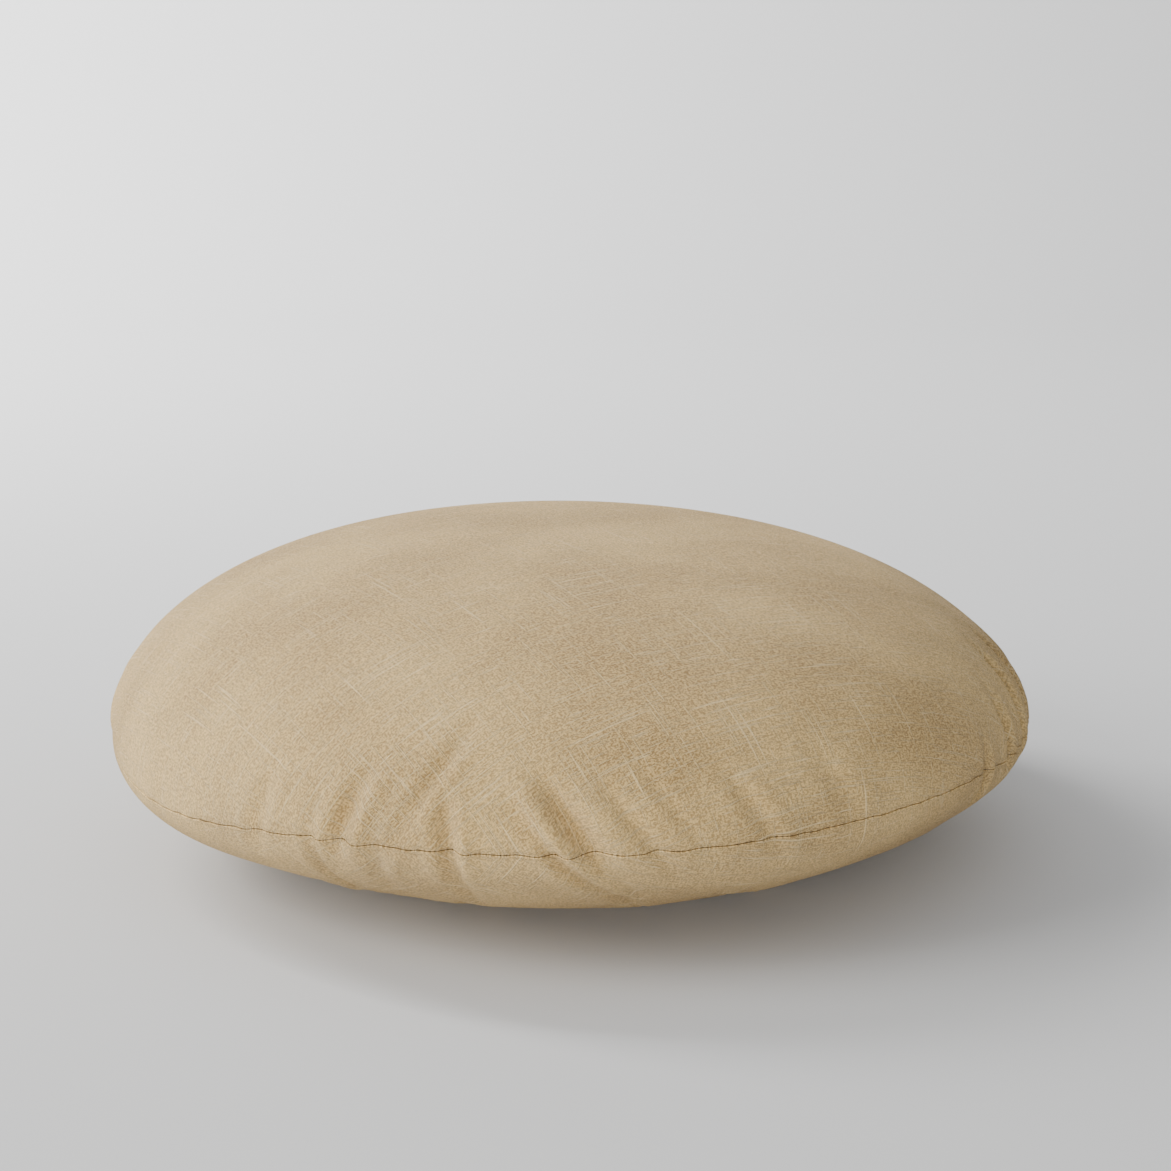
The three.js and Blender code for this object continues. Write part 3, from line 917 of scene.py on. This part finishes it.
# %% The weave group
def math_node(tree, operation, *values):
    """A Math node with links or numbers in its inputs, and its output."""
    node = tree.nodes.new("ShaderNodeMath")
    node.operation = operation
    for socket, value in zip(node.inputs, values):
        if isinstance(value, (int, float)):
            socket.default_value = value
        else:
            tree.links.new(value, socket)
    return node.outputs[0]


def stretched_noise(tree, vector, scale, detail):
    """Noise on a vector that is scaled by its own amount along each axis."""
    mapping = tree.nodes.new("ShaderNodeVectorMath")
    mapping.operation = "MULTIPLY"
    tree.links.new(vector, mapping.inputs[0])
    mapping.inputs[1].default_value = scale
    noise = tree.nodes.new("ShaderNodeTexNoise")
    noise.inputs["Scale"].default_value = 1.0
    noise.inputs["Detail"].default_value = detail
    tree.links.new(mapping.outputs[0], noise.inputs["Vector"])
    return noise.outputs["Fac"]


def ramp(tree, value, low, high):
    """A smooth mask: 0 below low and 1 above high."""
    node = tree.nodes.new("ShaderNodeMapRange")
    node.interpolation_type = "SMOOTHSTEP"
    node.inputs["From Min"].default_value = low
    node.inputs["From Max"].default_value = high
    tree.links.new(value, node.inputs["Value"])
    return node.outputs["Result"]


# Noise cells to a metre along and across the thread.
SLUB_CELLS = (13.0, 800.0)
SHORT_SLUB_CELLS = (45.0, 900.0)
YARN_CELLS = (230.0, 1200.0)
COARSE_CELLS = (680.0, 960.0, 1.0)
FLECK_CELLS = (260.0, 420.0, 1.0)
SHADE_CELLS = (7.0, 11.0, 1.0)
SLUB_LOWEST = (0.61, 0.625, 0.615, 0.66)
SLUB_EDGE = 0.08
FLECK_RANGE = (0.76, 0.82)
THREAD_RELIEF = 0.12
SLUB_RELIEF = 0.5
THREADS_PER_METRE = 1500.0


def build_weave():
    """Slubs along two directions, grain, flecks, slow shade changes and the height of the yarn."""
    group = bpy.data.node_groups.new("woven_yarn", "ShaderNodeTree")
    group.interface.new_socket("Vector", in_out="INPUT", socket_type="NodeSocketVector")
    count = group.interface.new_socket("Threads", in_out="INPUT", socket_type="NodeSocketFloat")
    count.default_value = THREADS_PER_METRE
    for name in ("Slubs", "Grain", "Flecks", "Shade", "Height"):
        group.interface.new_socket(name, in_out="OUTPUT", socket_type="NodeSocketFloat")
    given = group.nodes.new("NodeGroupInput")
    result = group.nodes.new("NodeGroupOutput")
    vector = given.outputs["Vector"]

    def both_ways(along, across, detail):
        """One noise stretched along the first thread direction, and one along the second."""
        first = stretched_noise(group, vector, (along, across, 1.0), detail)
        second = stretched_noise(group, vector, (across, along, 1.0), detail)
        return first, second

    slub_noises = both_ways(*SLUB_CELLS, 1.0) + both_ways(*SHORT_SLUB_CELLS, 1.0)
    lowest = zip(slub_noises, SLUB_LOWEST)
    masks = [ramp(group, value, low, low + SLUB_EDGE) for value, low in lowest]
    slubs = masks[0]
    for mask in masks[1:]:
        slubs = math_node(group, "MAXIMUM", slubs, mask)
    yarn_a, yarn_b = both_ways(*YARN_CELLS, 3.0)
    yarn = math_node(group, "MULTIPLY", math_node(group, "ADD", yarn_a, yarn_b), 0.5)
    coarse = stretched_noise(group, vector, COARSE_CELLS, 2.0)
    halves = [math_node(group, "MULTIPLY", value, 0.5) for value in (yarn, coarse)]
    grain = math_node(group, "ADD", *halves)
    flecks = ramp(group, stretched_noise(group, vector, FLECK_CELLS, 0.0), *FLECK_RANGE)
    shade = stretched_noise(group, vector, SHADE_CELLS, 3.0)

    split = group.nodes.new("ShaderNodeSeparateXYZ")
    group.links.new(vector, split.inputs[0])
    crests = []
    for axis in ("X", "Y"):
        turns = math_node(group, "MULTIPLY", split.outputs[axis], given.outputs["Threads"])
        crests.append(math_node(group, "SINE", math_node(group, "MULTIPLY", turns, 2 * math.pi)))
    threads = math_node(group, "MULTIPLY", crests[0], crests[1])
    height = math_node(group, "ADD", math_node(group, "MULTIPLY", threads, THREAD_RELIEF), grain)
    height = math_node(group, "ADD", height, math_node(group, "MULTIPLY", slubs, SLUB_RELIEF))
    for name, value in (("Slubs", slubs), ("Grain", grain), ("Flecks", flecks), ("Shade", shade)):
        group.links.new(value, result.inputs[name])
    group.links.new(height, result.inputs["Height"])
    return group


weave = build_weave()
print("weave group:", len(weave.nodes), "nodes")

# %% [markdown]
# ## Cloth finishes
#
# Every cloth is the same idea with other numbers: a base colour, a lighter slub, a darker gap, and
# a bump from the yarn. The pattern is turned by 30 degrees, the way this disc lies on the roll.


# %% A cloth material
CUT_TURN = math.radians(-30)
GRAIN_RANGE = (0.46, 0.54)
GRAIN_SHARE = 0.65
SHADE_RANGE = (0.3, 0.7)
SHADE_SHARE = 0.35
FLECK_SHARE = 0.5
ROUGH = 0.96
GRAIN_GLOSS = -0.08


def new_material(name, roughness, **fixed):
    """A material with a Principled shader, and its node tree. Fixed values sit on the shader."""
    material = bpy.data.materials.new(name)
    material.use_nodes = True
    shader = material.node_tree.nodes["Principled BSDF"]
    shader.inputs["Roughness"].default_value = roughness
    for socket, value in fixed.items():
        shader.inputs[socket.replace("_", " ")].default_value = value
    return material, material.node_tree, shader


def mixed(tree, share, first, second):
    """A colour between two, each a link or three numbers, by a link from 0 to 1."""
    node = tree.nodes.new("ShaderNodeMix")
    node.data_type = "RGBA"
    sockets = [s for s in node.inputs if s.type == "RGBA"]
    for socket, value in zip(sockets, (first, second)):
        if isinstance(value, tuple):
            socket.default_value = (*value, 1.0)
        else:
            tree.links.new(value, socket)
    tree.links.new(share, node.inputs["Factor"])
    return [s for s in node.outputs if s.type == "RGBA"][0]


def bumped(tree, shader, height, distance):
    """Bends the shader's normal by a height, as deep as the distance in metres."""
    bump = tree.nodes.new("ShaderNodeBump")
    bump.inputs["Distance"].default_value = distance
    bump.inputs["Strength"].default_value = 1.0
    tree.links.new(height, bump.inputs["Height"])
    tree.links.new(bump.outputs["Normal"], shader.inputs["Normal"])


def cloth_material(name, dark, light, slub, threads, relief, slub_share, on_uv=True, sheen=0.15):
    """Woven cloth: yarn grain from dark to light, then slubs, then a few dark flecks."""
    material, tree, shader = new_material(
        name, ROUGH, Sheen_Weight=sheen, Sheen_Roughness=0.6, Specular_IOR_Level=0.25
    )
    source = tree.nodes.new("ShaderNodeTexCoord")
    mapping = tree.nodes.new("ShaderNodeMapping")
    if on_uv:
        mapping.inputs["Rotation"].default_value = (0, 0, CUT_TURN)
    else:
        mapping.inputs["Rotation"].default_value = (math.pi / 2, 0, 0)
    tree.links.new(source.outputs["UV" if on_uv else "Object"], mapping.inputs["Vector"])
    yarn = tree.nodes.new("ShaderNodeGroup")
    yarn.node_tree = weave
    yarn.inputs["Threads"].default_value = threads
    tree.links.new(mapping.outputs["Vector"], yarn.inputs["Vector"])
    grain = ramp(tree, yarn.outputs["Grain"], *GRAIN_RANGE)
    shade = ramp(tree, yarn.outputs["Shade"], *SHADE_RANGE)
    slow = math_node(tree, "MULTIPLY", shade, SHADE_SHARE)
    share = math_node(tree, "ADD", math_node(tree, "MULTIPLY", grain, GRAIN_SHARE), slow)
    colour = mixed(tree, share, dark, light)
    colour = mixed(tree, math_node(tree, "MULTIPLY", yarn.outputs["Slubs"], slub_share), colour, slub)
    colour = mixed(tree, math_node(tree, "MULTIPLY", yarn.outputs["Flecks"], FLECK_SHARE), colour, dark)
    tree.links.new(colour, shader.inputs["Base Color"])
    rough = math_node(tree, "ADD", math_node(tree, "MULTIPLY", grain, GRAIN_GLOSS), ROUGH)
    tree.links.new(rough, shader.inputs["Roughness"])
    bumped(tree, shader, yarn.outputs["Height"], relief)
    return material


def dress(material, *names):
    """Puts one material on pieces, by name."""
    for name in names:
        mesh = bpy.data.objects[name].data
        mesh.materials.clear()
        mesh.materials.append(material)


linen = cloth_material(
    "natural_linen",
    dark=(0.305, 0.180, 0.055),
    light=(0.790, 0.545, 0.220),
    slub=(0.890, 0.685, 0.360),
    threads=THREADS_PER_METRE,
    relief=0.0014,
    slub_share=0.50,
)
cotton = cloth_material(
    "pad_cotton",
    dark=(0.66, 0.62, 0.54),
    light=(0.80, 0.76, 0.68),
    slub=(0.84, 0.81, 0.74),
    threads=2200.0,
    relief=0.0002,
    slub_share=0.15,
)
satin = cloth_material(
    "label_satin",
    dark=(0.74, 0.72, 0.67),
    light=(0.84, 0.82, 0.78),
    slub=(0.86, 0.85, 0.82),
    threads=3500.0,
    relief=0.00008,
    slub_share=0.05,
    sheen=0.4,
)
tape = cloth_material(
    "zip_tape_twill",
    dark=(0.42, 0.33, 0.21),
    light=(0.58, 0.47, 0.32),
    slub=(0.62, 0.52, 0.37),
    threads=2600.0,
    relief=0.0002,
    slub_share=0.1,
    on_uv=False,
)
dress(linen, "linen_top", "linen_bottom")
dress(cotton, "cotton_top", "cotton_bottom")
dress(satin, "care_label_blank")
dress(tape, "zip_tape_upper", "zip_tape_lower")

# %% [markdown]
# ## Thread, nylon, fibre and brass
#
# One noise can give each of these its own look: fine fuzz on thread, a faint haze on smooth nylon,
# matted loose fibre, and old brass that is darker and rougher in patches.


# %% The small finishes
NOISE_DETAIL = 4.0
NOISE_RANGE = (0.35, 0.65)


def noise_material(name, dark, light, scale, relief, rough, **fixed):
    """A material whose colour and relief follow one noise, on the piece's own coordinates."""
    material, tree, shader = new_material(name, rough[0], **fixed)
    source = tree.nodes.new("ShaderNodeTexCoord")
    noise = stretched_noise(tree, source.outputs["Object"], scale, NOISE_DETAIL)
    share = ramp(tree, noise, *NOISE_RANGE)
    tree.links.new(mixed(tree, share, dark, light), shader.inputs["Base Color"])
    spread = math_node(tree, "MULTIPLY", share, rough[1] - rough[0])
    tree.links.new(math_node(tree, "ADD", spread, rough[0]), shader.inputs["Roughness"])
    bumped(tree, shader, noise, relief)
    return material


thread = noise_material(
    "linen_thread",
    dark=(0.36, 0.27, 0.16),
    light=(0.52, 0.41, 0.26),
    scale=(2600.0, 2600.0, 900.0),
    relief=0.0001,
    rough=(0.85, 0.7),
)
nylon = noise_material(
    "coil_nylon",
    dark=(0.42, 0.33, 0.21),
    light=(0.50, 0.40, 0.27),
    scale=(700.0, 700.0, 700.0),
    relief=0.00003,
    rough=(0.5, 0.38),
)
fibre = noise_material(
    "matted_fibre",
    dark=(0.70, 0.69, 0.66),
    light=(0.86, 0.85, 0.82),
    scale=(160.0, 240.0, 320.0),
    relief=0.002,
    rough=(1.0, 0.9),
)
brass = noise_material(
    "aged_brass",
    dark=(0.16, 0.105, 0.042),
    light=(0.42, 0.30, 0.13),
    scale=(260.0, 260.0, 260.0),
    relief=0.000008,
    rough=(0.48, 0.30),
    Metallic=1.0,
)
dress(thread, "seam_stitching", "casing_stitching", "tape_stitching_upper", "tape_stitching_lower")
dress(nylon, "coil_upper", "coil_lower")
dress(fibre, "fibre_fill")
dress(brass, "zip_slider", "zip_pull", "zip_top_stop_upper", "zip_top_stop_lower", "zip_bottom_stop")
print("finishes:", [material.name for material in bpy.data.materials])

# %% [markdown]
# ## Soft edges on the metal
#
# Cast zip parts have no sharp edges. A small bevel catches the light on them. It is a modifier, so
# the frame's own meshes stay as they are.

# %% Bevels
BEVEL = {"zip_slider": 0.00018, "zip_pull": 0.00028, "zip_bottom_stop": 0.0002}
SHARP = math.radians(40)
for name, width in BEVEL.items():
    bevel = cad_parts[name].modifiers.new("soft_edge", "BEVEL")
    bevel.width = width
    bevel.segments = 2
    bevel.limit_method = "ANGLE"
    bevel.angle_limit = SHARP

# %% [markdown]
# ## The studio
#
# A pale paper sweep: the floor curves up into the wall, so there is no line behind the cushion. A
# large soft light stands on the left, so the shade falls on the right and under the front edge.

# %% Sweep, lights and sky
SWEEP_NEAR = -14.0
SWEEP_BEND = 2.6
SWEEP_CURVE = 2.2
SWEEP_TOP = 5.0
SWEEP_HALF_WIDTH = 7.0
FLOOR_DROP = 0.0002
BEND_STEPS = 33
PAPER_GREY = 0.575
SKY_COLOUR = (0.97, 0.985, 1.0, 1)
SKY_STRENGTH = 0.69
bend_turn = np.linspace(0, np.pi / 2, BEND_STEPS)
bend_y = SWEEP_BEND + SWEEP_CURVE * np.sin(bend_turn)
profile_y = np.concatenate([[SWEEP_NEAR], bend_y, bend_y[-1:]])
profile_z = np.concatenate([[0.0], SWEEP_CURVE * (1 - np.cos(bend_turn)), [SWEEP_TOP]]) - FLOOR_DROP
sides = np.array([-SWEEP_HALF_WIDTH, SWEEP_HALF_WIDTH])
sweep_points = np.stack(
    [np.repeat(sides, len(profile_y)), np.tile(profile_y, 2), np.tile(profile_z, 2)], -1
)
sweep_rows = np.arange(len(sweep_points)).reshape(2, len(profile_y))
studio_sweep = mesh_object("studio_sweep", sweep_points, grid_faces(sweep_rows))
studio_sweep.data.shade_smooth()
paper, _, paper_shader = new_material("pale_paper", 0.9, Specular_IOR_Level=0.1)
paper_shader.inputs["Base Color"].default_value = (PAPER_GREY, PAPER_GREY, PAPER_GREY, 1)
dress(paper, "studio_sweep")


def soft_light(name, place, target, size, power, colour=(1, 1, 1)):
    """An oblong area light that faces a target: size in metres, power in watts."""
    data = bpy.data.lights.new(name, "AREA")
    data.shape = "RECTANGLE"
    data.size, data.size_y = size
    data.energy = power
    data.color = colour
    light = bpy.data.objects.new(name, data)
    bpy.context.collection.objects.link(light)
    aimed(light, place, target)


soft_light("window", (-2.5, -0.9, 1.5), (0.0, 0.0, 0.1), (1.7, 1.5), 82.0, (1.0, 0.99, 0.97))
soft_light("wall_wash", (-2.8, 1.8, 2.4), (-0.6, 4.4, 1.0), (2.5, 2.0), 505.0)
soft_light("low_fill", (-0.7, -2.5, 0.4), (0.0, -0.2, 0.05), (1.6, 0.6), 42.0)
sky = bpy.data.worlds.new("studio")
sky.use_nodes = True
sky.node_tree.nodes["Background"].inputs["Color"].default_value = SKY_COLOUR
sky.node_tree.nodes["Background"].inputs["Strength"].default_value = SKY_STRENGTH
bpy.context.scene.world = sky
